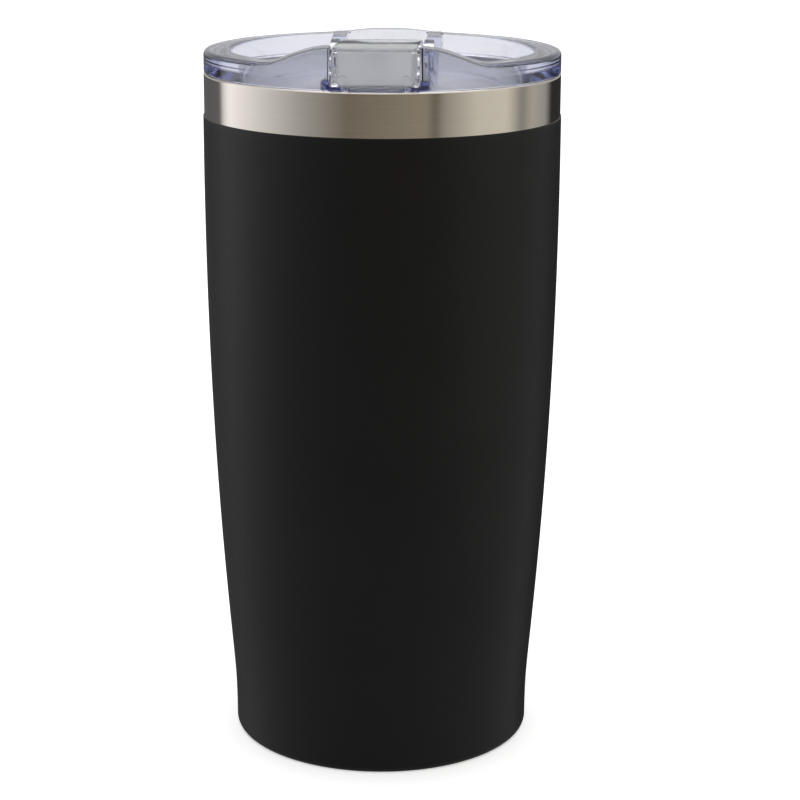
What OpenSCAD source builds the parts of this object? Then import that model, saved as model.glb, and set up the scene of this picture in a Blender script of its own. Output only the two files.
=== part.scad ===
// Double-wall vacuum tumbler with a clear push-on lid and a flip tab.
// Millimetres, +Z up. The origin is the centre of the foot, on the surface the cup stands on.
// The drinking side of the lid faces -Y.

/* [Cup] */
// Height of the steel cup, without the lid
cup_h = 167.4; // [150:0.1:190]
// Outer radius of the bare steel rim
rim_r = 43.2; // [41:0.05:46]
// Outer radius of the steel at the foot, before the blend into the wall
foot_r = 37.05; // [34:0.05:38.5]
// Height where the taper starts, going down
taper_top = 148.7; // [140:0.1:152]
// How much the radius would fall from there to the ground
taper_fall = 7.4; // [6:0.1:9]
// How the taper grows on the way down: 2 is an even curve, more is later and faster
taper_power = 2.2; // [1.8:0.05:2.6]
// Radius of the outer edge of the foot
foot_fillet = 1.5; // [1.2:0.1:3]
// Thickness of the steel sheet
sheet_t = 0.5; // [0.4:0.05:0.9]
// Width of the vacuum gap
vacuum_gap = 3.2; // [2:0.1:4]
// Height of the floor inside the cup
cup_floor = 13; // [12:0.5:20]
// Thickness of the black powder coat
coat_t = 0.25; // [0.1:0.05:0.4]
// Height where the bare steel band starts
band_z = 157.1; // [150:0.1:162]

/* [Lid] */
// Outer radius of the lid
lid_r = 43.15; // [41:0.05:46]
// Gap between the rim of the cup and the flange of the lid
lid_seat_gap = 0.15; // [0.1:0.05:0.4]
// Thickness of the low flange ring
ring_h = 5.35; // [4:0.05:7]
// Width of the flange ring, from the outer wall to the recess
ring_w = 6.6; // [5:0.1:8]
// Height of the raised front above the flange ring
crest_h = 4.3; // [3:0.1:6]
// Depth of the flat front part of the tab's top, from front to back
crest_d = 9.5; // [6:0.5:12]
// Height of the low rise at the back above the flange ring
rear_h = 0.8; // [0.4:0.1:2]
// Depth of the two side recesses below the top of the flange ring
recess_d = 7.9; // [6:0.1:9]
// Depth of the plug that goes into the cup
plug_h = 11.3; // [9:0.1:13]
// Thickness of the floors of the lid
floor_t = 2.4; // [1.6:0.1:3]

/* [Flip tab] */
// Inner width of the channel that the tab sits in
channel_w = 20.2; // [18:0.1:22]
// Side gap between the tab and each wall of the channel
tab_gap = 0.5; // [0.3:0.1:1]
// Width of the posts beside the channel
post_w = 3.7; // [3:0.1:5]
// Width of the low curbs beside the channel
curb_w = 1.2; // [1:0.1:2]
// Thickness of the top plate of the tab
tab_plate_t = 1.1; // [0.9:0.1:2.2]
// Radius of the hinge barrel
barrel_r = 2.4; // [2.2:0.1:3]
// Radius of the hinge pin
pin_r = 1.1; // [0.8:0.05:1.4]
// Length of the drinking opening across the lid
drink_len = 15; // [12:0.5:16]
// Width of the drinking opening
drink_w = 8; // [6:0.5:9]

/* [Hidden] */
$fn = 96;

// Cup, worked out from the driving sizes
blend_k = 0.6;                        // softness of the blend from the taper to the foot
liner_off = sheet_t + vacuum_gap;     // from the outer wall to the liner's outer face
liner_corner = 8;                     // inside corner of the cup's floor
land_z = 156.7;                       // the rim land, where both walls touch, starts here
neck_z = 149.7;                       // the liner starts to widen here
foot_ring_r = 31.6;                   // inner radius of the ring that the cup stands on
foil_t = 0.15;
foil_z = [22, 147];
wall_steps = [2.5, 6, 10, 14, 18, 22, 28, 36, 48, 60, 72, 84, 96, 108, 120, 132, 141, 150];
coat_under = 55;                      // how far the coat follows the foot fillet, in degrees

// Vacuum closure in the base
closure_z = 5;
dimple_r = 7;
dimple_h = 1.5;
port_r = 1;
bead_r = 3.5;
getter_x = 18;
getter_r = 5;
getter_t = 2;
clip_t = 0.5;

// Lid heights
flange_z = cup_h + lid_seat_gap;
ring_top = flange_z + ring_h;
crest_top = ring_top + crest_h;
recess_z = ring_top - recess_d;
plug_bottom = flange_z - plug_h;
ring_in_r = lid_r - ring_w;
recess_r = ring_in_r - 1.2;           // the recess narrows towards its floor
ring_fillet = 1.3;

// Plug and gasket
land_r = rim_r - 2 * sheet_t;         // inner radius of the cup's rim
plug_r = land_r - 1.65;
plug_t = 2.6;
groove_d = 1.4;
groove_z = [plug_bottom + 3, plug_bottom + 7];
gasket_play = 0.1;
gasket_reach = land_r - 0.2;
fin_t = 0.8;

// Front, channel and hinge
channel_z = flange_z + 0.95;          // floor of the channel, which is also the drinking lip
slab_t = 2.4;
front_shoulder = [10.5, 30.5];        // the raised front falls to the ring between these distances
rear_shoulder = [3, 18];              // and so does the low rise at the back
shoulder_steps = 14;
half_channel = channel_w / 2;
curb_top = channel_z + 0.6;
post_y = 22;                          // front face of the two posts at the back
post_top = ring_top + 0.6;
front_end = -18;                      // the raised front is all in front of this
land_y = crest_d - lid_r;             // back edge of the flat part of the tab's top
hinge_y = 0;
hinge_top = ring_top + 1.9;
hinge_z = hinge_top - barrel_r;
ear_r = 2.6;
ear_t = 2.4;
pin_play = 0.02;                      // pin in the ears
barrel_play = 0.07;                   // tab on the pin

// Tab and stopper
half_tab = half_channel - tab_gap;
apron_t = 2.4;
apron_bottom = channel_z + 0.8;
chamfer_w = 0.7;                      // the lower sides of the tab draw in by this much
chamfer_z = channel_z + 3.4;
ridge_r = 0.7;
ball_r = 1.15;
ridge_half = 7.1;
ridge_z = channel_z + 1.5;
ridge_y = 0.5 - lid_r;
drink_y = -30;
boss_r = 2.6;
boss_bottom = channel_z + 2.5;
pad_half = 8.6;                       // half width of the stopper's block
pad_y = [-41, -25.4];                 // its front, before the apron's inner wall trims it, and back
pad_corner = 2.5;
pad_gap = 0.1;
pad_play = 0.05;
nose_play = 0.7;
nose_h = 1.6;
vent_y = 17;
vent_r = 1;

// Outer radius of the steel wall at height z
function smooth_max(a, b, k) = (a + b + sqrt((a - b) * (a - b) + k * k)) / 2;
function wall_r(z) =
    let (drop = max(0, taper_top - z))
    smooth_max(rim_r - taper_fall * pow(drop / taper_top, taper_power), foot_r, blend_k)
    - (z >= taper_top ? smooth_max(rim_r, foot_r, blend_k) - rim_r : 0);

// Points of an arc, from angle a to angle b
function arc(cx, cz, r, a, b, n = 8) =
    [for (i = [0:n]) let (t = a + (b - a) * i / n) [cx + r * cos(t), cz + r * sin(t)]];

// The wall's points between two heights, moved inwards by off
function wall_points(off, z0, z1) =
    concat([[wall_r(z0) - off, z0]],
           [for (z = wall_steps) if (z > z0 && z < z1) [wall_r(z) - off, z]],
           [[wall_r(z1) - off, z1]]);

function reversed(v) = [for (i = [len(v) - 1:-1:0]) v[i]];
function tail(v) = [for (i = [1:len(v) - 1]) v[i]];

// Top of the tab at a distance y from the lid's centre: flat in front, then down to the hinge
function tab_top(y) = crest_top - max(0, y - land_y) * (crest_top - hinge_top) / (hinge_y - land_y);

// Falls smoothly from 1 to 0 as x goes over the given span
function shoulder(x, span) =
    let (t = min(1, max(0, (abs(x) - span[0]) / (span[1] - span[0]))))
    1 - t * t * (3 - 2 * t);

// ---- Cup -------------------------------------------------------------------------------------

// Black powder coat on the outside of the wall, below the bare steel band
module powder_coat() {
    foot_c = wall_r(foot_fillet) - foot_fillet;
    color([0.09, 0.09, 0.09])
    rotate_extrude()
    polygon(concat(
        arc(foot_c, foot_fillet, foot_fillet + coat_t, -coat_under, 0),
        tail(wall_points(-coat_t, foot_fillet, band_z)),
        reversed(wall_points(0, foot_fillet, band_z)),
        tail(reversed(arc(foot_c, foot_fillet, foot_fillet, -coat_under, 0)))));
}

// Outer steel wall, turned in at the foot and rounded at the lip
module outer_shell() {
    foot_c = wall_r(foot_fillet) - foot_fillet;
    color("silver")
    rotate_extrude()
    polygon(concat(
        [[foot_ring_r, 0]],
        arc(foot_c, foot_fillet, foot_fillet, -90, 0),
        tail(wall_points(0, foot_fillet, cup_h - sheet_t)),
        tail(arc(rim_r - sheet_t, cup_h - sheet_t, sheet_t, 0, 90, 5)),
        reversed(wall_points(sheet_t, foot_fillet, land_z)),
        tail(reversed(arc(foot_c, foot_fillet, foot_fillet - sheet_t, -90, 0))),
        [[foot_ring_r, sheet_t]]));
}

// One face of the liner, as points from the centre of its floor up to the rim land
function liner_face(off, floor_z, corner, top_z) =
    let (wall_z = floor_z + corner,
         corner_c = wall_r(wall_z) - off - corner)
    concat([[0, floor_z]],
           arc(corner_c, wall_z, corner, -90, 0),
           tail(wall_points(off, wall_z, neck_z)),
           [[land_r + liner_off + sheet_t - off - 0.6, land_z - 1.2],
            [land_r + liner_off + sheet_t - off, land_z],
            [land_r + liner_off + sheet_t - off, top_z]]);

// Inner steel wall and floor, which widens into the rim land
module inner_liner() {
    inside = liner_face(liner_off + sheet_t, cup_floor, liner_corner, cup_h - sheet_t);
    outside = liner_face(liner_off, cup_floor - sheet_t, liner_corner + sheet_t, cup_h - sheet_t);
    color("gainsboro")
    rotate_extrude()
    polygon(concat(
        outside,
        arc(land_r + sheet_t, cup_h - sheet_t, sheet_t, 90, 180, 5),
        tail(reversed(inside))));
}

// Copper foil wrapped on the liner, which reflects heat back
module copper_foil() {
    color([0.80, 0.45, 0.30])
    rotate_extrude()
    polygon(concat(
        wall_points(liner_off - foil_t, foil_z[0], foil_z[1]),
        reversed(wall_points(liner_off, foil_z[0], foil_z[1]))));
}

// Disc that closes the vacuum, with a skirt, and a dimple for the evacuation port
module outer_base() {
    skirt_r = wall_r(4) - sheet_t - 0.1;
    top = closure_z + sheet_t;
    color("silver")
    rotate_extrude()
    polygon([
        [port_r, closure_z + dimple_h], [dimple_r, closure_z + dimple_h],
        [dimple_r + dimple_h, closure_z], [skirt_r - sheet_t, closure_z],
        [skirt_r - sheet_t, 2.6], [skirt_r, 2.6], [skirt_r, top],
        [dimple_r + dimple_h, top], [dimple_r, top + dimple_h], [port_r, top + dimple_h]]);
}

// Bead of solder glass that closes the evacuation port
module seal_bead() {
    under = closure_z + dimple_h;
    color([0.35, 0.33, 0.30])
    rotate_extrude()
    polygon(concat(
        [[0, under - 1]],
        arc(bead_r - 1, under, 1, -90, 0, 4),
        [[port_r, under], [port_r, under + sheet_t], [0, under + sheet_t]]));
}

// Stamped clip on the closure disc that holds the getter pill
module getter_holder() {
    base = closure_z + sheet_t;
    color("silver")
    translate([getter_x, 0, base])
    difference() {
        union() {
            cylinder(r = getter_r + 3, h = clip_t);
            cylinder(r = getter_r + clip_t + 0.1, h = getter_t);
        }
        translate([0, 0, clip_t]) cylinder(r = getter_r + 0.1, h = getter_t);
    }
}

// Getter pill, which soaks up gas left in the vacuum gap
module getter() {
    color([0.45, 0.45, 0.47])
    translate([getter_x, 0, closure_z + sheet_t + clip_t])
    cylinder(r = getter_r, h = getter_t);
}

// Steel cover disc in the foot ring
module base_cover() {
    color("silver")
    rotate_extrude()
    polygon([
        [0, sheet_t + 0.5], [22, sheet_t + 0.5], [25, sheet_t], [foot_ring_r + 2, sheet_t],
        [foot_ring_r + 2, sheet_t + 0.6], [25.3, sheet_t + 0.6], [22.3, sheet_t + 1.1],
        [0, sheet_t + 1.1]]);
}

// ---- Lid -------------------------------------------------------------------------------------

// Round stock of the lid: flange ring, recess, floor, and plug with its gasket groove
module lid_round() {
    plug_in = plug_r - plug_t;
    groove_r = plug_r - groove_d;
    rotate_extrude()
    polygon(concat(
        [[0, recess_z - floor_t], [plug_in, recess_z - floor_t],
         [plug_in, plug_bottom], [plug_r - 0.6, plug_bottom], [plug_r, plug_bottom + 0.6],
         [plug_r, groove_z[0]], [groove_r, groove_z[0]],
         [groove_r, groove_z[1]], [plug_r, groove_z[1]],
         [plug_r, flange_z], [lid_r - 0.4, flange_z], [lid_r, flange_z + 0.4]],
        arc(lid_r - ring_fillet, ring_top - ring_fillet, ring_fillet, 0, 90, 6),
        arc(ring_in_r + 0.8, ring_top - 0.8, 0.8, 90, 170, 4),
        arc(recess_r - 1.6, recess_z + 1.6, 1.6, -10, -90, 4),
        [[0, recess_z]]));
}

// A rise seen from the front, as a block as deep as the lid: from base up by h, with two shoulders
module rise_outline(low, base, h, span) {
    side = [for (i = [0:shoulder_steps])
        let (x = span[0] + (span[1] - span[0]) * i / shoulder_steps)
        [x, base + h * shoulder(x, span)]];
    rotate([90, 0, 0])
    linear_extrude(height = 2 * lid_r + 2, center = true)
    polygon(concat(
        [[-span[1], low], [span[1], low]],
        reversed(side),
        [for (p = side) [-p[0], p[1]]]));
}

// Raised front: the flange ring rises into a crest
module raised_front() {
    low = recess_z - floor_t;
    intersection() {
        union() {
            translate([0, 0, low]) cylinder(r = recess_r + 1, h = 20);
            translate([0, 0, flange_z + 1]) cylinder(r = lid_r, h = 20);
        }
        rise_outline(low, ring_top - ring_fillet, crest_h + ring_fillet, front_shoulder);
        difference() {
            translate([-lid_r, -lid_r, low]) cube([2 * lid_r, lid_r + front_end, 30]);
            translate([0, 0, low - 1]) cylinder(r = ring_in_r + 0.4, h = 40);
        }
    }
}

// Low curb, hinge ear and rear post along one side of the channel
module channel_side() {
    low = recess_z - floor_t;
    translate([half_channel, -ring_in_r, low])
        cube([curb_w, 2 * ring_in_r + 1, curb_top - low]);
    translate([half_channel, hinge_y - ear_r, low])
        cube([ear_t, 2 * ear_r, hinge_z - low]);
    translate([half_channel, hinge_y, hinge_z])
        rotate([0, 90, 0]) cylinder(r = ear_r, h = ear_t);
    translate([half_channel, post_y, low])
        cube([post_w, ring_in_r - 1 - post_y, post_top - low]);
}

// Low rise at the back of the flange ring
module rear_rise() {
    intersection() {
        translate([0, 0, flange_z + 2]) cylinder(r = lid_r, h = 20);
        rise_outline(ring_top - 2, ring_top - 0.3, rear_h + 0.3, rear_shoulder);
        difference() {
            translate([-lid_r, 20, flange_z]) cube([2 * lid_r, lid_r, 20]);
            translate([0, 0, flange_z - 1]) cylinder(r = ring_in_r + 0.4, h = 30);
        }
    }
}

// Outline of the drinking opening, made larger by grow
module drink_outline(grow = 0) {
    r = drink_w / 2 + grow;
    half = (drink_len - drink_w) / 2;
    translate([0, drink_y]) {
        square([2 * half, 2 * r], center = true);
        for (x = [-half, half]) translate([x, 0]) circle(r = r);
    }
}

// Clear lid body
module lid_body() {
    slab_bottom = channel_z - slab_t;
    color([0.72, 0.78, 0.92, 0.45])
    difference() {
        union() {
            lid_round();
            raised_front();
            for (side = [0, 1]) mirror([side, 0, 0]) channel_side();
            rear_rise();
            translate([-half_channel, -ring_in_r, slab_bottom])
                cube([channel_w, 2 * ring_in_r, slab_t]);
        }
        // channel for the tab, open at the front
        translate([-half_channel, -lid_r - 5, channel_z])
            cube([channel_w, lid_r + 5 + ring_in_r, 30]);
        // hollow under the channel floor
        intersection() {
            translate([-half_channel, -lid_r, recess_z - floor_t - 1])
                cube([channel_w, 2 * lid_r, slab_bottom - (recess_z - floor_t - 1)]);
            translate([0, 0, plug_bottom]) cylinder(r = recess_r, h = 30);
        }
        translate([0, 0, slab_bottom - 1])
            linear_extrude(height = slab_t + 2) drink_outline();
        translate([0, vent_y, slab_bottom - 1])
            cylinder(r = vent_r, h = slab_t + 2, $fn = 32);
        translate([-half_channel - ear_t - 1, hinge_y, hinge_z])
            rotate([0, 90, 0])
            cylinder(r = pin_r + pin_play, h = 2 * (half_channel + ear_t) + 2, $fn = 48);
    }
}

// Silicone ring with two fins, in the plug's groove
module lid_gasket() {
    low = groove_z[0] + gasket_play;
    high = groove_z[1] - gasket_play;
    back = plug_r - groove_d + gasket_play;
    body = plug_r + 0.3;
    color([0.9, 0.92, 0.95, 0.7])
    rotate_extrude()
    polygon([
        [back, low], [body, low],
        [gasket_reach, low + 0.5], [gasket_reach, low + 0.5 + fin_t / 2], [body, low + 0.4 + fin_t],
        [body, high - 0.9 - fin_t / 2], [gasket_reach, high - fin_t], [gasket_reach, high - fin_t / 2],
        [body, high], [back, high]]);
}

// Steel pin through both ears and the barrel of the tab
module hinge_pin() {
    half = half_channel + ear_t;
    color("silver")
    translate([-half, hinge_y, hinge_z])
    rotate([0, 90, 0])
    cylinder(r = pin_r, h = 2 * half, $fn = 48);
}

// Thumb ridge with a ball at each end, low on the front of the tab
module thumb_ridge() {
    translate([-ridge_half, ridge_y, ridge_z]) {
        rotate([0, 90, 0]) cylinder(r = ridge_r, h = 2 * ridge_half, $fn = 32);
        sphere(r = ball_r, $fn = 32);
        translate([2 * ridge_half, 0, 0]) sphere(r = ball_r, $fn = 32);
    }
}

// The tab seen from the front: straight sides that draw in at the bottom
module tab_outline() {
    rotate([90, 0, 0])
    linear_extrude(height = 2 * lid_r + 2, center = true)
    polygon([[chamfer_w - half_tab, apron_bottom], [half_tab - chamfer_w, apron_bottom],
             [half_tab, chamfer_z], [half_tab, crest_top + 1],
             [-half_tab, crest_top + 1], [-half_tab, chamfer_z]]);
}

// The tab seen from the side, solid from its top, lowered by top_off, down to low
module tab_block(low, top_off, half_width) {
    front = -lid_r - 1;
    rotate([90, 0, 90])
    linear_extrude(height = 2 * half_width, center = true)
    polygon([[front, low], [hinge_y, low], [hinge_y, tab_top(hinge_y) - top_off],
             [land_y, tab_top(land_y) - top_off], [front, tab_top(front) - top_off]]);
}

// Clear flip tab: top plate, front apron, hinge barrel and the boss that holds the stopper
module flip_tab() {
    boss_top = tab_top(drink_y) - tab_plate_t / 2;
    color([0.72, 0.78, 0.92, 0.45])
    difference() {
        union() {
            intersection() {
                translate([0, 0, apron_bottom]) cylinder(r = lid_r, h = 20);
                tab_outline();
                difference() {
                    tab_block(apron_bottom, 0, half_tab);
                    // hollow behind the apron, under the top plate
                    intersection() {
                        translate([0, 0, apron_bottom - 1]) cylinder(r = lid_r - apron_t, h = 20);
                        tab_block(apron_bottom - 1, tab_plate_t, half_tab + 1);
                    }
                }
            }
            translate([-half_tab, hinge_y, hinge_z])
                rotate([0, 90, 0]) cylinder(r = barrel_r, h = 2 * half_tab);
            translate([0, drink_y, boss_bottom])
                cylinder(r = boss_r, h = boss_top - boss_bottom);
            thumb_ridge();
        }
        translate([-half_tab - 1, hinge_y, hinge_z])
            rotate([0, 90, 0]) cylinder(r = pin_r + barrel_play, h = 2 * half_tab + 2, $fn = 48);
    }
}

// Outline of the stopper's block, with round corners
module pad_outline() {
    half_x = pad_half - pad_corner;
    depth = pad_y[1] - pad_y[0];
    half_y = depth / 2 - pad_corner;
    translate([0, (pad_y[0] + pad_y[1]) / 2]) {
        square([2 * pad_half, 2 * half_y], center = true);
        square([2 * half_x, depth], center = true);
        for (x = [-half_x, half_x], y = [-half_y, half_y])
            translate([x, y]) circle(r = pad_corner);
    }
}

// Silicone stopper: a block under the tab, pushed on its boss, with a nose in the opening
module tab_stopper() {
    pad_low = channel_z + pad_gap;
    color([0.9, 0.92, 0.95, 0.7])
    difference() {
        union() {
            intersection() {
                translate([0, 0, pad_low])
                    linear_extrude(height = crest_top - pad_low) pad_outline();
                tab_block(pad_low - 1, tab_plate_t + pad_play, pad_half + 1);
                cylinder(r = lid_r - apron_t - pad_play, h = crest_top);
            }
            translate([0, 0, pad_low - nose_h])
                linear_extrude(height = nose_h + 0.5) drink_outline(-nose_play);
        }
        translate([0, drink_y, boss_bottom]) cylinder(r = boss_r, h = 20);
    }
}

powder_coat();
outer_shell();
inner_liner();
copper_foil();
outer_base();
seal_bead();
getter_holder();
getter();
base_cover();
lid_body();
lid_gasket();
hinge_pin();
flip_tab();
tab_stopper();
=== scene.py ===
"""Insulated tumbler with a clear flip-tab lid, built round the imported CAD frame.

The shape functions work in millimetres, in the frame of the CAD, and the meshes are made in metres.
"""

import math

import bpy
import numpy as np
import openvdb
from mathutils import Euler, Matrix, Vector

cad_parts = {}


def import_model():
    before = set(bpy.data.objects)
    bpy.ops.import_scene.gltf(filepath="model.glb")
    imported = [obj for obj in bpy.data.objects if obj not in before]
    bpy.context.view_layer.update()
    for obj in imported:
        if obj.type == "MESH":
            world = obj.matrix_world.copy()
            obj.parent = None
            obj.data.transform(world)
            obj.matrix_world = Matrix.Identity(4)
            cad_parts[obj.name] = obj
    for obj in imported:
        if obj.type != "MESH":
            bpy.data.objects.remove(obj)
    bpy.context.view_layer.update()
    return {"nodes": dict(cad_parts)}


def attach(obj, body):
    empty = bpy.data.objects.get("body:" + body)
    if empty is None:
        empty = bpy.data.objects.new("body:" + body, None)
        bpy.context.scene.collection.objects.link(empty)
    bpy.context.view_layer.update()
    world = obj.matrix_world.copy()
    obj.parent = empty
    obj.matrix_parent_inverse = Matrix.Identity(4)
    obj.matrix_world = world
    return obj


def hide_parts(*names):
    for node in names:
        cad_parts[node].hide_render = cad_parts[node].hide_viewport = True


MM = 0.001

# Cup, in millimetres
CUP_H = 167.4
RIM_R = 43.2
FOOT_R = 37.05
TAPER_TOP = 148.7
TAPER_FALL = 7.4
TAPER_POWER = 2.2
BLEND_K = 0.6
FOOT_FILLET = 1.5
SHEET_T = 0.5
COAT_T = 0.25
COAT_UNDER = 55
BAND_Z = 157.1
LAND_Z = 156.7
NECK_Z = 149.7
LINER_OFF = SHEET_T + 3.2
LINER_CORNER = 8
CUP_FLOOR = 13
FOOT_RING_R = 31.6
LAND_R = RIM_R - 2 * SHEET_T

# Lid, in millimetres
LID_R = 43.15
FLANGE_Z = CUP_H + 0.15
RING_TOP = FLANGE_Z + 5.35
RING_IN_R = LID_R - 6.6
CREST_TOP = RING_TOP + 4.3
REAR_TOP = RING_TOP + 0.8
RECESS_Z = RING_TOP - 7.9
RECESS_R = RING_IN_R - 1.2
FLOOR_T = 2.4
PLUG_BOTTOM = FLANGE_Z - 11.3
PLUG_R = LAND_R - 1.65
PLUG_T = 2.6
GROOVE_D = 1.4
GROOVE_Z = (PLUG_BOTTOM + 3, PLUG_BOTTOM + 7)
TOP_FILLET = 1.3
REAR_SINK = 0.3

# Front, channel and hinge, in millimetres
CHANNEL_Z = FLANGE_Z + 0.95
HALF_CHANNEL = 10.1
SLAB_T = 2.4
LAND_Y = 9.5 - LID_R
CURB_OUT = HALF_CHANNEL + 1.2
CURB_TOP = CHANNEL_Z + 0.6
POST_OUT = HALF_CHANNEL + 3.7
POST_Y = 22
POST_TOP = RING_TOP + 0.6
FRONT_SHOULDER = (10.5, 30.5)
SLOPE_SCALE = 0.92  # makes the distance above the sloping shoulder about true
REAR_SHOULDER = (3, 18)
HINGE_TOP = RING_TOP + 1.9
EAR_R = 2.6
EAR_OUT = HALF_CHANNEL + 2.4
BARREL_R = 2.4
PIN_R = 1.1
HINGE_Z = HINGE_TOP - BARREL_R
DRINK_Y = -30
DRINK_LEN = 15
DRINK_W = 8
VENT_Y = 17
VENT_R = 1
FRONT_END_Y = -18
REAR_START_Y = 20

# Tab and stopper, in millimetres
TAB_SLOPE = (CREST_TOP - HINGE_TOP) / -LAND_Y
HALF_TAB = HALF_CHANNEL - 0.5
TAB_PLATE_T = 1.1
APRON_T = 2.4
APRON_BOTTOM = CHANNEL_Z + 0.8
CHAMFER_W = 0.7
CHAMFER_Z = CHANNEL_Z + 3.4
RIDGE_R = 0.7
BALL_R = 1.15
RIDGE_HALF = 7.1
RIDGE_Z = CHANNEL_Z + 1.5
RIDGE_Y = 0.5 - LID_R
BOSS_R = 2.6
BOSS_BOTTOM = CHANNEL_Z + 2.5
PAD_HALF = 8.6
PAD_FRONT = -41
PAD_BACK = -25.4
PAD_CORNER = 2.5
PAD_LOW = CHANNEL_Z + 0.1
NOSE_H = 1.6


# ---- Profiles ----------------------------------------------------------------------------------

def smooth_max(a, b, k):
    return (a + b + math.sqrt((a - b) ** 2 + k * k)) / 2


def wall_r(z):
    """Outer radius of the steel wall at height z."""
    drop = max(0.0, TAPER_TOP - z)
    r = smooth_max(RIM_R - TAPER_FALL * (drop / TAPER_TOP) ** TAPER_POWER, FOOT_R, BLEND_K)
    return r - (smooth_max(RIM_R, FOOT_R, BLEND_K) - RIM_R if z >= TAPER_TOP else 0)


def wall_line(offset, z0, z1, step=2.0):
    """The wall's line from z0 to z1, moved outwards by offset."""
    count = max(1, round(abs(z1 - z0) / step))
    return [(wall_r(z) + offset, z) for z in np.linspace(z0, z1, count + 1)]


def arc(cr, cz, radius, a0, a1, steps=8):
    """Points on an arc, from angle a0 to a1 in degrees."""
    return [(cr + radius * math.cos(math.radians(a)), cz + radius * math.sin(math.radians(a)))
            for a in np.linspace(a0, a1, steps + 1)]


def filleted(corners, steps=6):
    """A closed profile from corners (r, z, fillet), with short support edges beside each fillet."""
    out = []
    for i, (r, z, radius) in enumerate(corners):
        here = Vector((r, z))
        if radius == 0:
            out.append((r, z))
            continue
        before = (Vector(corners[i - 1][:2]) - here).normalized()
        after = (Vector(corners[(i + 1) % len(corners)][:2]) - here).normalized()
        half = before.angle(after) / 2
        reach = radius / math.tan(half)
        centre = here + (before + after).normalized() * (radius / math.sin(half))
        start, end = here + before * reach, here + after * reach
        out.append(tuple(start + before * radius * 0.2))
        turn = (start - centre).angle_signed(end - centre)
        for k in range(steps + 1):
            arm = start - centre
            angle = -turn * k / steps
            out.append((centre.x + arm.x * math.cos(angle) - arm.y * math.sin(angle),
                        centre.y + arm.x * math.sin(angle) + arm.y * math.cos(angle)))
        out.append(tuple(end + after * radius * 0.2))
    return out


# ---- Mesh tools --------------------------------------------------------------------------------

def new_object(name, vertices, faces, sharp_deg=40):
    mesh = bpy.data.meshes.new(name)
    mesh.from_pydata(vertices, [], faces)
    mesh.polygons.foreach_set("use_smooth", [True] * len(mesh.polygons))
    mesh.set_sharp_from_angle(angle=math.radians(sharp_deg))
    mesh.validate()
    obj = bpy.data.objects.new(name, mesh)
    bpy.context.scene.collection.objects.link(obj)
    return obj


def lathe(name, profile, segments=288, sharp_deg=40):
    """Turns a closed profile of (r, z) in millimetres round Z. A point at r = 0 becomes a pole."""
    angles = np.linspace(0, 2 * math.pi, segments, endpoint=False)
    vertices, rows = [], []
    for r, z in profile:
        if r < 1e-6:
            rows.append([len(vertices)] * segments)
            vertices.append((0, 0, z * MM))
        else:
            rows.append(list(range(len(vertices), len(vertices) + segments)))
            vertices += [(r * MM * math.cos(a), r * MM * math.sin(a), z * MM) for a in angles]
    faces = []
    for row, following in zip(rows, rows[1:] + rows[:1]):
        for i in range(segments):
            j = (i + 1) % segments
            ring = dict.fromkeys((row[i], row[j], following[j], following[i]))
            if len(ring) > 2:
                faces.append(tuple(ring))
    return new_object(name, vertices, faces, sharp_deg)


def spans(*parts):
    """Sample positions along one axis, from parts of (low, high, step)."""
    return np.concatenate([np.arange(low, high, step) for low, high, step in parts])


def from_sdf(name, sdf, *axes):
    """A mesh of the surface sdf(x, y, z) = 0, all in millimetres, with each vertex moved onto it."""
    samples = sdf(*np.meshgrid(*axes, indexing="ij")).astype(np.float32)
    grid = openvdb.FloatGrid(2.0)
    grid.copyFromArray(np.clip(samples, -2, 2))
    points, quads = grid.convertToQuads(0.0)
    points = np.stack([np.interp(points[:, i], np.arange(len(axes[i])), axes[i]) for i in range(3)], axis=1)
    for _ in range(4):
        points -= surface_step(sdf, points)
    normals = gradient(sdf, points)
    corners = points[quads]
    facing = np.cross(corners[:, 2] - corners[:, 0], corners[:, 3] - corners[:, 1])
    if np.einsum("ij,ij->i", facing, normals[quads].mean(axis=1)).mean() < 0:
        quads = quads[:, ::-1]
    obj = new_object(name, (points * MM).tolist(), quads.tolist(), 180)
    lengths = np.linalg.norm(normals, axis=1, keepdims=True)
    obj.data.normals_split_custom_set_from_vertices((normals / np.maximum(lengths, 1e-9)).tolist())
    return obj


def gradient(sdf, points, h=0.01):
    """The gradient of sdf at each point, by central differences over h."""
    columns = []
    for axis in range(3):
        ahead, behind = points.copy(), points.copy()
        ahead[:, axis] += h
        behind[:, axis] -= h
        columns.append((sdf(*ahead.T) - sdf(*behind.T)) / (2 * h))
    return np.stack(columns, axis=1)


def surface_step(sdf, points):
    """The move that takes each point towards the surface, at most 0.2 mm."""
    g = gradient(sdf, points)
    steepness = np.maximum((g * g).sum(axis=1), 0.05)
    step = sdf(*points.T)[:, None] * g / steepness[:, None]
    length = np.linalg.norm(step, axis=1, keepdims=True)
    return step * np.minimum(1, 0.2 / np.maximum(length, 1e-9))


# ---- Distance functions: negative inside ---------------------------------------------------------

def both(a, b, radius=0.0):
    """Inside a and b, with the edge rounded."""
    if radius == 0:
        return np.maximum(a, b)
    return (np.minimum(-radius, np.maximum(a, b))
            + np.hypot(np.maximum(a + radius, 0), np.maximum(b + radius, 0)))


def either(a, b, radius=0.0):
    """Inside a or b, with the inner corner filled."""
    return -both(-a, -b, radius)


def cut(a, b, radius=0.0):
    """Inside a and outside b, with the edge rounded."""
    return both(a, -b, radius)


def between(v, low, high):
    return np.maximum(low - v, v - high)


def stadium(x, y, half_length, radius):
    return np.hypot(np.maximum(np.abs(x) - half_length + radius, 0), y) - radius


def rounded_box(x, y, half_x, half_y, radius):
    across, along = np.abs(x) - half_x + radius, np.abs(y) - half_y + radius
    outside = np.hypot(np.maximum(across, 0), np.maximum(along, 0))
    return outside + np.minimum(np.maximum(across, along), 0) - radius


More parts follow.
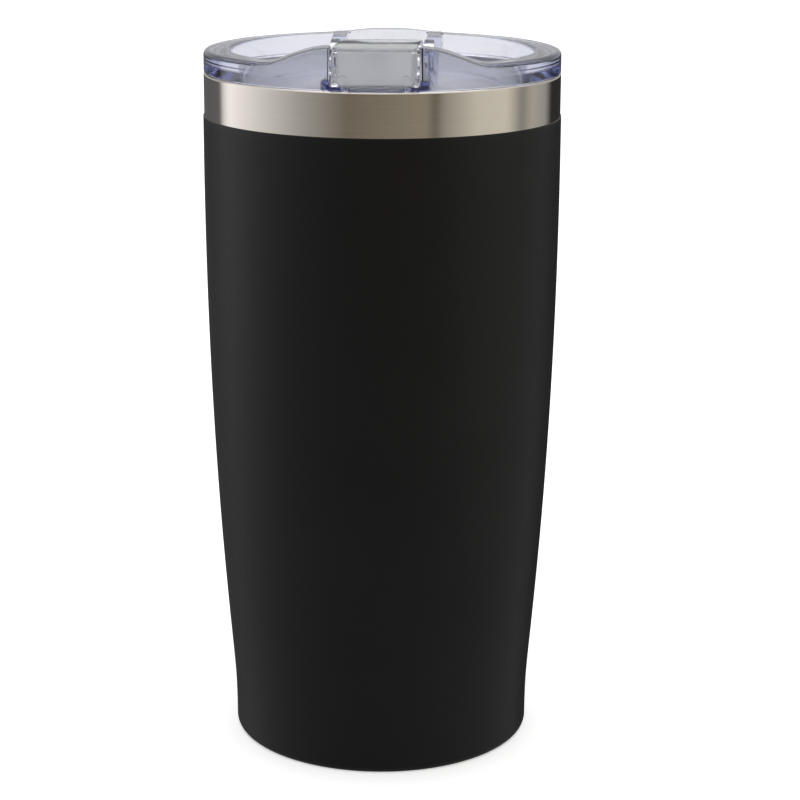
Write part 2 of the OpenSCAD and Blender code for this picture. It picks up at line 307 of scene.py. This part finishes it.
def above_tab(y, z, radius=0.0):
    """Distance above the top of the tab, which is flat in front and then slopes to the hinge."""
    slope = (z - CREST_TOP + (y - LAND_Y) * TAB_SLOPE) / math.hypot(1, TAB_SLOPE)
    return both(z - CREST_TOP, slope, radius)


def shoulder(x, start, end):
    """Falls smoothly from 1 to 0 as x goes from start to end, on both sides."""
    t = np.clip((np.abs(x) - start) / (end - start), 0, 1)
    return 1 - t * t * (3 - 2 * t)


def lid_round(r, z, front):
    """The round stock of the lid with its raised front: flange ring, recess, floor and plug."""
    flange = both(both(r - LID_R, z - RING_TOP, TOP_FILLET), FLANGE_Z - z, 0.3)
    plug = both(both(r - PLUG_R, z - RING_TOP + 2), PLUG_BOTTOM - z, 0.6)
    stock = either(either(flange, plug, 0.3), front, 0.6)
    draft = (RING_IN_R - RECESS_R) / (RING_TOP - RECESS_Z)
    recess = both((r - RECESS_R - (z - RECESS_Z) * draft) / math.hypot(1, draft), RECESS_Z - z, 1.8)
    under = both(r - PLUG_R + PLUG_T, z - RECESS_Z + FLOOR_T, 1.2)
    groove = both(PLUG_R - GROOVE_D - r, between(z, *GROOVE_Z))
    return cut(cut(cut(stock, recess, 0.9), under, 0.5), groove)


def lid_outside(r, z):
    """Distance outside the lid's wall above the flange's underside, and outside the plug below it."""
    return np.minimum(r - RECESS_R - 1, both(r - LID_R, FLANGE_Z + 1 - z))


def raised_front(x, y, z, r):
    """The flange ring rises into a crest at the front."""
    low = RING_TOP - TOP_FILLET
    rise = (CREST_TOP - low) * shoulder(x, *FRONT_SHOULDER)
    top = (z - low - rise) * SLOPE_SCALE
    body = both(both(y - FRONT_END_Y, top, 0.45), RECESS_Z - FLOOR_T - z)
    return both(body, lid_outside(r, z), 0.45)


def channel_sides(x, y, z, r):
    """The low curb, hinge ear and rear post on each side of the channel."""
    ax = np.abs(x)
    along = between(y, -RING_IN_R, RING_IN_R + 1)
    curb = both(both(ax - CURB_OUT, z - CURB_TOP, 0.3), along)
    ear_round = np.hypot(y, np.maximum(z - HINGE_Z, 0)) - EAR_R
    ear = both(ax - EAR_OUT, ear_round, 0.4)
    post = both(both(ax - POST_OUT, POST_Y - y, 0.6), both(z - POST_TOP, y - RING_IN_R), 0.5)
    sides = either(either(curb, ear, 0.4), post, 0.4)
    return both(both(sides, RECESS_Z - FLOOR_T - z), np.minimum(r - RING_IN_R - 1, lid_outside(r, z)))


def rear_rise(x, y, z, r):
    """The low rise at the back of the flange ring."""
    low = RING_TOP - REAR_SINK
    top = z - low - (REAR_TOP - low) * shoulder(x, *REAR_SHOULDER)
    block = both(both(r - LID_R, top, TOP_FILLET), RING_TOP - 2 - z)
    return both(block, np.maximum(RING_IN_R - r, REAR_START_Y - y), 0.8)


def lid_sdf(x, y, z):
    """Clear lid body."""
    r = np.hypot(x, y)
    ax = np.abs(x)
    body = lid_round(r, z, raised_front(x, y, z, r))
    body = either(body, channel_sides(x, y, z, r), 0.4)
    body = either(body, rear_rise(x, y, z, r), 0.5)
    slab_low = CHANNEL_Z - SLAB_T
    slab = both(both(ax - HALF_CHANNEL - 0.5, r - RING_IN_R - 1), between(z, slab_low, CHANNEL_Z + 0.5))
    body = either(body, slab, 0.3)
    channel = both(both(ax - HALF_CHANNEL, CHANNEL_Z - z, 0.5), y - RING_IN_R, 0.8)
    body = cut(body, channel, 0.3)
    hollow = both(both(ax - HALF_CHANNEL, r - RECESS_R, 1.0), z - slab_low, 0.6)
    body = cut(body, both(hollow, PLUG_BOTTOM - 2 - z), 0.5)
    mouth = stadium(x, y - DRINK_Y, DRINK_LEN / 2, DRINK_W / 2)
    body = cut(body, mouth, 0.6)
    vent = np.hypot(x, y - VENT_Y) - VENT_R
    body = cut(body, vent, 0.3)
    pin_hole = np.maximum(np.hypot(y, z - HINGE_Z) - PIN_R - 0.02, ax - EAR_OUT - 1)
    return np.maximum(cut(body, pin_hole, 0.15), r - LID_R)


def tab_sdf(x, y, z):
    """Clear flip tab: plate, apron, barrel, stopper boss and thumb ridge."""
    r = np.hypot(x, y)
    ax = np.abs(x)
    above = above_tab(y, z, 0.5)
    draw_in = CHAMFER_W * np.clip((CHAMFER_Z - z) / (CHAMFER_Z - APRON_BOTTOM), 0, 1)
    outline = both(r - LID_R, ax - HALF_TAB + draw_in, 0.5)
    block = both(both(both(outline, above, 0.45), APRON_BOTTOM - z, 0.4), y)
    room = both(r - LID_R + APRON_T, above + TAB_PLATE_T, 0.2)
    tab = cut(block, room, 0.4)
    barrel = both(np.hypot(y, z - HINGE_Z) - BARREL_R, ax - HALF_TAB, 0.3)
    tab = either(tab, barrel, 0.5)
    boss = both(np.hypot(x, y - DRINK_Y) - BOSS_R, BOSS_BOTTOM - z, 0.3)
    tab = either(tab, both(boss, above + 1))
    from_ridge = np.hypot(y - RIDGE_Y, z - RIDGE_Z)
    ridge = both(from_ridge - RIDGE_R, ax - RIDGE_HALF)
    ball = np.hypot(from_ridge, ax - RIDGE_HALF) - BALL_R
    tab = either(tab, either(ridge, ball, 0.3), 0.2)
    pin_hole = np.hypot(y, z - HINGE_Z) - PIN_R - 0.07
    return cut(tab, pin_hole, 0.15)


def stopper_sdf(x, y, z):
    """Silicone stopper: a block under the tab, pushed on its boss, with a nose in the opening."""
    middle = (PAD_FRONT + PAD_BACK) / 2
    plan = rounded_box(x, y - middle, PAD_HALF, (PAD_BACK - PAD_FRONT) / 2, PAD_CORNER)
    ceiling = np.maximum(above_tab(y, z, 0.5) + TAB_PLATE_T, np.hypot(x, y) - LID_R + APRON_T) - 0.08
    pad = both(both(plan, ceiling), PAD_LOW - z, 0.5)
    nose = both(stadium(x, y - DRINK_Y, DRINK_LEN / 2 - 0.7, DRINK_W / 2 - 0.7),
                between(z, PAD_LOW - NOSE_H, PAD_LOW + 1), 0.6)
    socket = both(np.hypot(x, y - DRINK_Y) - BOSS_R - 0.05, BOSS_BOTTOM - 0.05 - z)
    return cut(either(pad, nose, 0.3), socket)


# ---- Material tools ------------------------------------------------------------------------------

class Material:
    """A node material with one Principled shader, and short calls for the nodes in front of it."""

    def __init__(self, name, **constants):
        self.made = bpy.data.materials.new(name)
        self.made.use_nodes = True
        self.nodes, self.links = self.made.node_tree.nodes, self.made.node_tree.links
        self.shader = self.nodes["Principled BSDF"]
        self.output = self.nodes["Material Output"]
        for socket, value in constants.items():
            self.shader.inputs[socket.replace("_", " ")].default_value = value
        self.coords = self.nodes.new("ShaderNodeTexCoord").outputs["Object"]

    def link(self, source, target):
        self.links.new(source, target)

    def stretched(self, scale):
        node = self.nodes.new("ShaderNodeMapping")
        node.inputs["Scale"].default_value = scale
        self.link(self.coords, node.inputs["Vector"])
        return node.outputs["Vector"]

    def noise(self, scale, detail=2.0, roughness=0.5, stretch=(1, 1, 1), vector=None):
        node = self.nodes.new("ShaderNodeTexNoise")
        node.inputs["Scale"].default_value = scale
        node.inputs["Detail"].default_value = detail
        node.inputs["Roughness"].default_value = roughness
        self.link(vector or self.stretched(stretch), node.inputs["Vector"])
        return node.outputs["Fac"]

    def remap(self, value, low, high, from_low=0.0, from_high=1.0):
        node = self.nodes.new("ShaderNodeMapRange")
        for socket, number in zip(node.inputs[1:5], (from_low, from_high, low, high)):
            socket.default_value = number
        self.link(value, node.inputs["Value"])
        return node.outputs["Result"]

    def ramp(self, value, stops):
        node = self.nodes.new("ShaderNodeValToRGB")
        elements = node.color_ramp.elements
        while len(elements) < len(stops):
            elements.new(0.5)
        for element, (position, colour) in zip(elements, stops):
            element.position, element.color = position, (*colour, 1)
        self.link(value, node.inputs["Fac"])
        return node.outputs["Color"]

    def bump(self, height, strength, distance):
        node = self.nodes.new("ShaderNodeBump")
        node.inputs["Strength"].default_value = strength
        node.inputs["Distance"].default_value = distance
        self.link(height, node.inputs["Height"])
        return node.outputs["Normal"]

    def feed(self, socket, source):
        self.link(source, self.shader.inputs[socket])


def around_z(material):
    """Texture coordinates that wrap round the cup: (angle, 0, height)."""
    split = material.nodes.new("ShaderNodeSeparateXYZ")
    material.link(material.coords, split.inputs["Vector"])
    join = material.nodes.new("ShaderNodeCombineXYZ")
    angle = material.nodes.new("ShaderNodeMath")
    angle.operation = "ARCTAN2"
    material.link(split.outputs["X"], angle.inputs[0])
    material.link(split.outputs["Y"], angle.inputs[1])
    material.link(angle.outputs["Value"], join.inputs["X"])
    material.link(split.outputs["Z"], join.inputs["Z"])
    return join.outputs["Vector"]


def tangent_around_z(material):
    node = material.nodes.new("ShaderNodeTangent")
    node.direction_type, node.axis = "RADIAL", "Z"
    material.feed("Tangent", node.outputs["Tangent"])


def powder_coat_material():
    m = Material("powder_coat_black", Specular_IOR_Level=0.28)
    grain = m.noise(2600, 3, 0.55)
    cloud = m.noise(35, 3, 0.5)
    dark, light = (0.0015, 0.0015, 0.0017), (0.0025, 0.0025, 0.0027)
    m.feed("Base Color", m.ramp(cloud, [(0.3, dark), (0.7, light)]))
    m.feed("Roughness", m.remap(m.noise(420, 2), 0.42, 0.46, 0.3, 0.7))
    m.feed("Normal", m.bump(grain, 0.25, 0.00006))
    return m.made


def brushed_material(name, colour, roughness, lines=0.5):
    """Stainless steel with fine brush lines that run round the cup."""
    m = Material(name, Metallic=1.0, Roughness=roughness, Anisotropic=0.7, Anisotropic_Rotation=0.25)
    tangent_around_z(m)
    wrap = around_z(m)
    stretch = m.nodes.new("ShaderNodeMapping")
    stretch.inputs["Scale"].default_value = (0.9, 1, 5200)
    m.link(wrap, stretch.inputs["Vector"])
    brush = m.noise(1.0, 4, 0.6, vector=stretch.outputs["Vector"])
    dark = tuple(c * 0.93 for c in colour)
    m.feed("Base Color", m.ramp(brush, [(0.3, dark), (0.7, colour)]))
    m.feed("Roughness", m.remap(brush, roughness * 0.85, roughness * 1.2, 0.3, 0.7))
    m.feed("Normal", m.bump(brush, lines, 0.00001))
    return m.made


def clear_plastic_material():
    """Clear moulded plastic. The tint is in the volume, so that long paths through it go blue."""
    m = Material("clear_plastic", Base_Color=(1, 1, 1, 1), IOR=1.52, Transmission_Weight=1.0)
    m.feed("Roughness", m.remap(m.noise(60, 2), 0.02, 0.06, 0.3, 0.7))
    m.feed("Normal", m.bump(m.noise(90, 2), 0.08, 0.0002))
    tint = m.nodes.new("ShaderNodeVolumeAbsorption")
    tint.inputs["Color"].default_value = (0.40, 0.44, 0.70, 1)
    tint.inputs["Density"].default_value = 42
    m.link(tint.outputs["Volume"], m.output.inputs["Volume"])
    return m.made


def silicone_material():
    m = Material("silicone", Roughness=0.5, IOR=1.41, Transmission_Weight=0.6)
    cloudy, clear = (0.96, 0.965, 0.97), (0.985, 0.985, 0.985)
    m.feed("Base Color", m.ramp(m.noise(300, 2), [(0.3, cloudy), (0.7, clear)]))
    m.feed("Normal", m.bump(m.noise(1800, 2), 0.15, 0.00005))
    return m.made


def metal_material(name, colour, roughness, scale=900):
    """Plain metal with a fine uneven surface."""
    m = Material(name, Metallic=1.0, Roughness=roughness)
    grain = m.noise(scale, 3, 0.6)
    dark = tuple(c * 0.85 for c in colour)
    m.feed("Base Color", m.ramp(grain, [(0.3, dark), (0.7, colour)]))
    m.feed("Roughness", m.remap(grain, roughness * 0.8, roughness * 1.3, 0.3, 0.7))
    m.feed("Normal", m.bump(grain, 0.3, 0.00003))
    return m.made


def solder_material():
    m = Material("solder_glass", Roughness=0.25)
    m.feed("Base Color", m.ramp(m.noise(700, 3), [(0.3, (0.10, 0.09, 0.08)), (0.7, (0.22, 0.20, 0.18))]))
    m.feed("Normal", m.bump(m.noise(500, 2), 0.3, 0.0001))
    return m.made


def floor_material():
    m = Material("studio_floor", Roughness=0.7, Specular_IOR_Level=0.2, Emission_Strength=0.35)
    m.shader.inputs["Emission Color"].default_value = (1, 1, 1, 1)
    m.feed("Base Color", m.ramp(m.noise(3, 2), [(0.3, (0.86, 0.86, 0.86)), (0.7, (0.88, 0.88, 0.88))]))
    return m.made


# ---- Pieces ------------------------------------------------------------------------------------------

def finish_piece(obj, body, slot, material, *nodes):
    obj.data.materials.clear()
    obj.data.materials.append(material)
    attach(obj, body)
    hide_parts(*nodes)


def coat_profile():
    centre = wall_r(FOOT_FILLET) - FOOT_FILLET
    outside = arc(centre, FOOT_FILLET, FOOT_FILLET + COAT_T, -COAT_UNDER, 0, 10)
    outside += wall_line(COAT_T, FOOT_FILLET, BAND_Z - 0.2)[1:]
    lip = arc(wall_r(BAND_Z) + 0.05, BAND_Z - 0.2, COAT_T - 0.05, 0, 90, 4)[1:]
    inside = wall_line(0, BAND_Z, FOOT_FILLET, 4)
    return outside + lip + inside + arc(centre, FOOT_FILLET, FOOT_FILLET, 0, -COAT_UNDER, 10)[1:]


def shell_profile():
    centre = wall_r(FOOT_FILLET) - FOOT_FILLET
    foot = [(FOOT_RING_R, 0), (FOOT_RING_R + 0.1, 0)] + arc(centre, FOOT_FILLET, FOOT_FILLET, -90, 0, 10)
    outside = wall_line(0, FOOT_FILLET, CUP_H - 2)[1:] + wall_line(0, CUP_H - 1.5, CUP_H - SHEET_T, 0.5)
    lip = arc(RIM_R - SHEET_T, CUP_H - SHEET_T, SHEET_T, 0, 90, 8)[1:]
    inside = [(RIM_R - SHEET_T, LAND_Z)] + wall_line(-SHEET_T, LAND_Z - 2, FOOT_FILLET, 4)
    inside += arc(centre, FOOT_FILLET, FOOT_FILLET - SHEET_T, 0, -90, 8)[1:] + [(FOOT_RING_R, SHEET_T)]
    return foot + outside + lip + inside


def liner_line(offset, floor_z, corner):
    """One face of the liner, from the centre of its floor to the rim land."""
    wall_z = floor_z + corner
    centre = wall_r(wall_z) - offset - corner
    land = RIM_R - SHEET_T + LINER_OFF - offset
    line = [(0, floor_z), (4, floor_z), (centre * 0.7, floor_z), (centre - 0.5, floor_z)]
    line += arc(centre, wall_z, corner, -90, 0, 16)
    line += wall_line(-offset, wall_z, NECK_Z)[1:]
    rise = land - (wall_r(NECK_Z) - offset)
    for t in np.linspace(0, 1, 13)[1:]:
        line.append((wall_r(NECK_Z) - offset + rise * t * t * (3 - 2 * t), NECK_Z + (LAND_Z - NECK_Z) * t))
    return line


def liner_profile():
    outside = liner_line(LINER_OFF, CUP_FLOOR - SHEET_T, LINER_CORNER + SHEET_T)
    inside = liner_line(LINER_OFF + SHEET_T, CUP_FLOOR, LINER_CORNER)
    lip = arc(LAND_R + SHEET_T, CUP_H - SHEET_T, SHEET_T, 90, 180, 8)
    return outside + lip + [(LAND_R, CUP_H - 1.5), (LAND_R, LAND_Z + 2)] + inside[::-1]


def gasket_profile():
    low, high = GROOVE_Z[0] + 0.1, GROOVE_Z[1] - 0.1
    back, face, reach = PLUG_R - GROOVE_D + 0.1, PLUG_R + 0.3, LAND_R - 0.2
    return filleted([
        (back, low, 0.2), (face, low, 0.15), (reach, low + 0.5, 0.12), (reach, low + 0.9, 0.12),
        (face, low + 1.2, 0.15), (face, high - 1.3, 0.15), (reach, high - 0.8, 0.12),
        (reach, high - 0.4, 0.12), (face, high, 0.15), (back, high, 0.2)])


def cover_profile():
    low, raised, thick, edge = SHEET_T, SHEET_T + 0.5, 0.6, FOOT_RING_R + 1.9
    return filleted([
        (0, raised, 0), (22, raised, 0.8), (25, low, 0.8), (edge, low, 0.1),
        (edge, low + thick, 0.1), (25.3, low + thick, 0.5), (22.3, raised + thick, 0.5),
        (0, raised + thick, 0)])


def hinge_pin():
    half = EAR_OUT
    profile = filleted([(0, -half, 0), (PIN_R, -half, 0.3), (PIN_R, half, 0.3), (0, half, 0)])
    obj = lathe("hinge_pin_ground", profile, 64)
    for v in obj.data.vertices:
        x, y, z = v.co
        v.co = (z, y, -x + HINGE_Z * MM)
    return obj


def build_cup(nodes):
    coat = lathe("coat_black", coat_profile(), 360)
    finish_piece(coat, "cup", "black_coat", powder_coat_material(), "powder_coat")
    shell = lathe("shell_brushed", shell_profile(), 360)
    band = brushed_material("steel_brushed", (0.66, 0.615, 0.55), 0.13)
    finish_piece(shell, "cup", "brushed_steel", band, "outer_shell")
    liner = lathe("liner_polished", liner_profile(), 288)
    polished = brushed_material("steel_polished", (0.68, 0.67, 0.65), 0.3, 0.3)
    finish_piece(liner, "cup", "liner_steel", polished, "inner_liner")
    cover = lathe("base_cover_spun", cover_profile(), 192)
    spun = brushed_material("steel_spun", (0.60, 0.59, 0.57), 0.28, 0.3)
    finish_piece(cover, "cup", "base_steel", spun, "base_cover")
    hidden = {
        "copper_foil": metal_material("copper_foil", (0.80, 0.42, 0.27), 0.22, 300),
        "outer_base": spun,
        "seal_bead": solder_material(),
        "getter_holder": metal_material("stamped_steel", (0.58, 0.57, 0.56), 0.35),
        "getter": metal_material("getter_sinter", (0.22, 0.22, 0.23), 0.7, 2500),
    }
    for node, material in hidden.items():
        nodes[node].data.materials.clear()
        nodes[node].data.materials.append(material)


def lid_samples():
    """Sample positions for the lid body, closer together where its edges are."""
    coarse = 1
    fine, wide, rim = 0.4 * coarse, 0.7 * coarse, 0.5 * coarse
    low, high = -LID_R - 1.05, LID_R + 1.45
    ring, post, ear = RING_IN_R, POST_OUT + 1.2, EAR_R + 0.6
    across = spans((low, -ring, rim), (-ring, -post, wide), (-post, post, fine), (post, ring, wide),
                   (ring, high, rim))
    along = spans((low, LAND_Y + 1, fine), (LAND_Y + 1, -ear, wide), (-ear, ear, fine),
                  (ear, POST_Y - 1, wide), (POST_Y - 1, POST_Y + 1.4, fine), (POST_Y + 1.4, ring - 1, wide),
                  (ring - 1, high, 0.45 * coarse))
    up = spans((PLUG_BOTTOM - 1.5, FLANGE_Z - 4, 0.8 * coarse), (FLANGE_Z - 4, FLANGE_Z - 0.4, fine),
               (FLANGE_Z - 0.4, FLANGE_Z + 0.8, 0.13 * coarse),
               (FLANGE_Z + 0.8, CREST_TOP + 1.2, 0.36 * coarse))
    return across, along, up


def build_lid():
    plastic, silicone = clear_plastic_material(), silicone_material()
    finish_piece(from_sdf("lid_clear", lid_sdf, *lid_samples()), "lid", "clear_plastic", plastic, "lid_body")
    gasket = lathe("lid_gasket_ring", gasket_profile(), 288)
    finish_piece(gasket, "lid", "silicone", silicone, "lid_gasket")
    finish_piece(hinge_pin(), "lid", "pin_steel", metal_material("steel_pin", (0.70, 0.70, 0.70), 0.15),
                 "hinge_pin")
    step = 0.3
    tab = from_sdf("tab_clear", tab_sdf, spans((-10.5, 10.8, step)), spans((-44.8, 4, step)),
                   spans((CHANNEL_Z - 1.2, CREST_TOP + 1, step)))
    finish_piece(tab, "tab", "clear_plastic", plastic, "flip_tab")
    stopper = from_sdf("tab_stopper_soft", stopper_sdf, spans((-9, 9.2, step)), spans((-42, -24.5, step)),
                       spans((CHANNEL_Z - 3, CREST_TOP, step)))
    finish_piece(stopper, "tab", "silicone", silicone, "tab_stopper")


# ---- Studio --------------------------------------------------------------------------------------------

NEUTRAL = (1, 1, 1)
COOL = (1, 1, 1.05)
CREAM = (1, 0.97, 0.88)
WOOD = (1, 0.88, 0.7)

# The surround, from left round to right: (degrees from the front, level, tint)
SURROUND = [
    # dark room behind on the left
    (-180, 0.1, NEUTRAL), (-125, 0.15, COOL),
    # tall soft box on the left, brightest at its rear edge
    (-119, 1.0, COOL), (-112, 1.4, COOL), (-50, 0.5, NEUTRAL),
    # warm room in front, up to the dark edge of the next soft box
    (-20, 0.2, WOOD), (30, 0.35, WOOD), (36, 0.15, WOOD),
    # soft box on the right
    (42, 0.4, CREAM), (65, 0.8, CREAM), (88, 0.85, CREAM),
    # dark gap, grey card, and dark room behind
    (102, 0.3, NEUTRAL), (113, 0.55, CREAM), (130, 0.4, COOL), (140, 0.03, NEUTRAL), (180, 0.03, NEUTRAL),
]

# Even grey levels that cover the surround: by direction, and by the kind of ray
TABLE_LEVEL = 0.4
BACKDROP_LEVEL = 0.58
CEILING_LEVEL = 1.0
REFRACTED_LEVEL = 1.25
BACKLIGHT_LEVEL = 0.95
SEEN_LEVEL = 1.0


def build_camera():
    """The photograph's view: 15 degrees down from 0.54 m, with the object a little left of centre."""
    azimuth, pitch, yaw, roll = (math.radians(degrees) for degrees in (2.5, 15.0, 0.49, 0.25))
    distance, height = 0.5363, 0.22855
    data = bpy.data.cameras.new("camera")
    data.sensor_width, data.lens = 36, 99.2
    camera = bpy.data.objects.new("camera", data)
    camera.location = (distance * math.sin(azimuth), -distance * math.cos(azimuth), height)
    aim = Euler((math.pi / 2 - pitch, 0, azimuth - yaw)).to_matrix()
    camera.rotation_euler = (aim @ Matrix.Rotation(roll, 3, "Z")).to_euler()
    bpy.context.scene.collection.objects.link(camera)
    bpy.context.scene.camera = camera


def build_floor():
    """A round floor, with rings of faces that grow outwards."""
    rings = [0.02, 0.2, 0.6, 1.5, 4, 9]
    vertices, faces, segments = [(0, 0, 0)], [], 64
    for radius in rings:
        for i in range(segments):
            a = 2 * math.pi * i / segments
            vertices.append((radius * math.cos(a), radius * math.sin(a), 0))
    for i in range(segments):
        faces.append((0, 1 + i, 1 + (i + 1) % segments))
    for k in range(len(rings) - 1):
        for i in range(segments):
            j = (i + 1) % segments
            a, b = 1 + k * segments, 1 + (k + 1) * segments
            faces.append((a + i, b + i, b + j, a + j))
    floor = new_object("studio_floor", vertices, faces)
    floor.data.materials.append(floor_material())
    floor.visible_glossy = False
    floor.visible_transmission = False


class World:
    """The world's node tree, and short calls for the nodes that mix its colour."""

    def __init__(self, name):
        world = bpy.data.worlds.new(name)
        bpy.context.scene.world = world
        world.use_nodes = True
        self.nodes, self.links = world.node_tree.nodes, world.node_tree.links

    def math(self, operation, a, b):
        """One math node. The second input is a socket or a number."""
        node = self.nodes.new("ShaderNodeMath")
        node.operation = operation
        self.links.new(a, node.inputs[0])
        if isinstance(b, (int, float)):
            node.inputs[1].default_value = b
        else:
            self.links.new(b, node.inputs[1])
        return node.outputs["Value"]

    def remap(self, source, low, high, smooth=False):
        """0 at low and 1 at high, and straight or smooth between."""
        node = self.nodes.new("ShaderNodeMapRange")
        if smooth:
            node.interpolation_type = "SMOOTHSTEP"
        node.inputs["From Min"].default_value, node.inputs["From Max"].default_value = low, high
        self.links.new(source, node.inputs["Value"])
        return node.outputs["Result"]

    def fade(self, source, low, high):
        return self.remap(source, low, high, smooth=True)

    def blend(self, factor, under, level):
        """Covers the colour under with an even grey of the given level."""
        node = self.nodes.new("ShaderNodeMix")
        node.data_type = "RGBA"
        self.links.new(factor, node.inputs["Factor"])
        self.links.new(under, node.inputs["A"])
        node.inputs["B"].default_value = (level, level, level, 1)
        return node.outputs["Result"]


def surround_colour(world, x, y):
    """The soft boxes and dark gaps of SURROUND, by the direction round the object."""
    turn = world.math("ARCTAN2", x, world.math("MULTIPLY", y, -1))
    sides = world.nodes.new("ShaderNodeValToRGB")
    elements = sides.color_ramp.elements
    while len(elements) < len(SURROUND):
        elements.new(0.5)
    for element, (degrees, level, tint) in zip(elements, SURROUND):
        element.position, element.color = (degrees + 180) / 360, (*(level * c for c in tint), 1)
    world.links.new(world.remap(turn, -math.pi, math.pi), sides.inputs["Fac"])
    return sides.outputs["Color"]


def build_world():
    """Soft studio surround: tall soft boxes at the sides, dark gaps between them and a bright ceiling."""
    world = World("studio")
    split = world.nodes.new("ShaderNodeSeparateXYZ")
    world.links.new(world.nodes.new("ShaderNodeTexCoord").outputs["Generated"], split.inputs["Vector"])
    x, y, z = (split.outputs[axis] for axis in "XYZ")
    path = world.nodes.new("ShaderNodeLightPath")
    seen, mirrored = path.outputs["Is Camera Ray"], path.outputs["Is Glossy Ray"]
    refracted = path.outputs["Is Transmission Ray"]

    table = world.math("MULTIPLY", world.fade(z, -0.11, -0.38), mirrored)
    table = world.math("MULTIPLY", table, world.fade(y, 0.8, 0.45))
    backdrop = world.math("MULTIPLY", world.fade(y, 0.3, 0.7), world.fade(z, -0.03, 0.03))
    ceiling = world.fade(z, 0.25, 0.6)
    backlight = world.math("MULTIPLY", refracted, world.fade(y, -0.2, 0.3))

    colour = surround_colour(world, x, y)
    for factor, level in ((table, TABLE_LEVEL), (backdrop, BACKDROP_LEVEL), (ceiling, CEILING_LEVEL),
                          (refracted, REFRACTED_LEVEL), (backlight, BACKLIGHT_LEVEL), (seen, SEEN_LEVEL)):
        colour = world.blend(factor, colour, level)
    world.links.new(colour, world.nodes["Background"].inputs["Color"])


def area_light(name, location, target, size, power):
    data = bpy.data.lights.new(name, "AREA")
    data.shape, data.size, data.size_y = "RECTANGLE", *size
    data.energy = power
    light = bpy.data.objects.new(name, data)
    light.location = location
    light.rotation_euler = (Vector(target) - Vector(location)).to_track_quat("-Z", "Y").to_euler()
    light.visible_glossy = False
    bpy.context.scene.collection.objects.link(light)


def build_studio():
    build_camera()
    build_floor()
    build_world()
    area_light("overhead", (0, 0.3, 1.6), (0, 0, 0), (1.6, 1.6), 12)
    scene = bpy.context.scene
    scene.view_settings.view_transform = "Standard"
    scene.cycles.max_bounces = 24
    scene.cycles.transmission_bounces = 20
    scene.cycles.glossy_bounces = 8
    scene.cycles.transparent_max_bounces = 16


def main():
    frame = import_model()
    build_studio()
    build_cup(frame["nodes"])
    build_lid()


main()
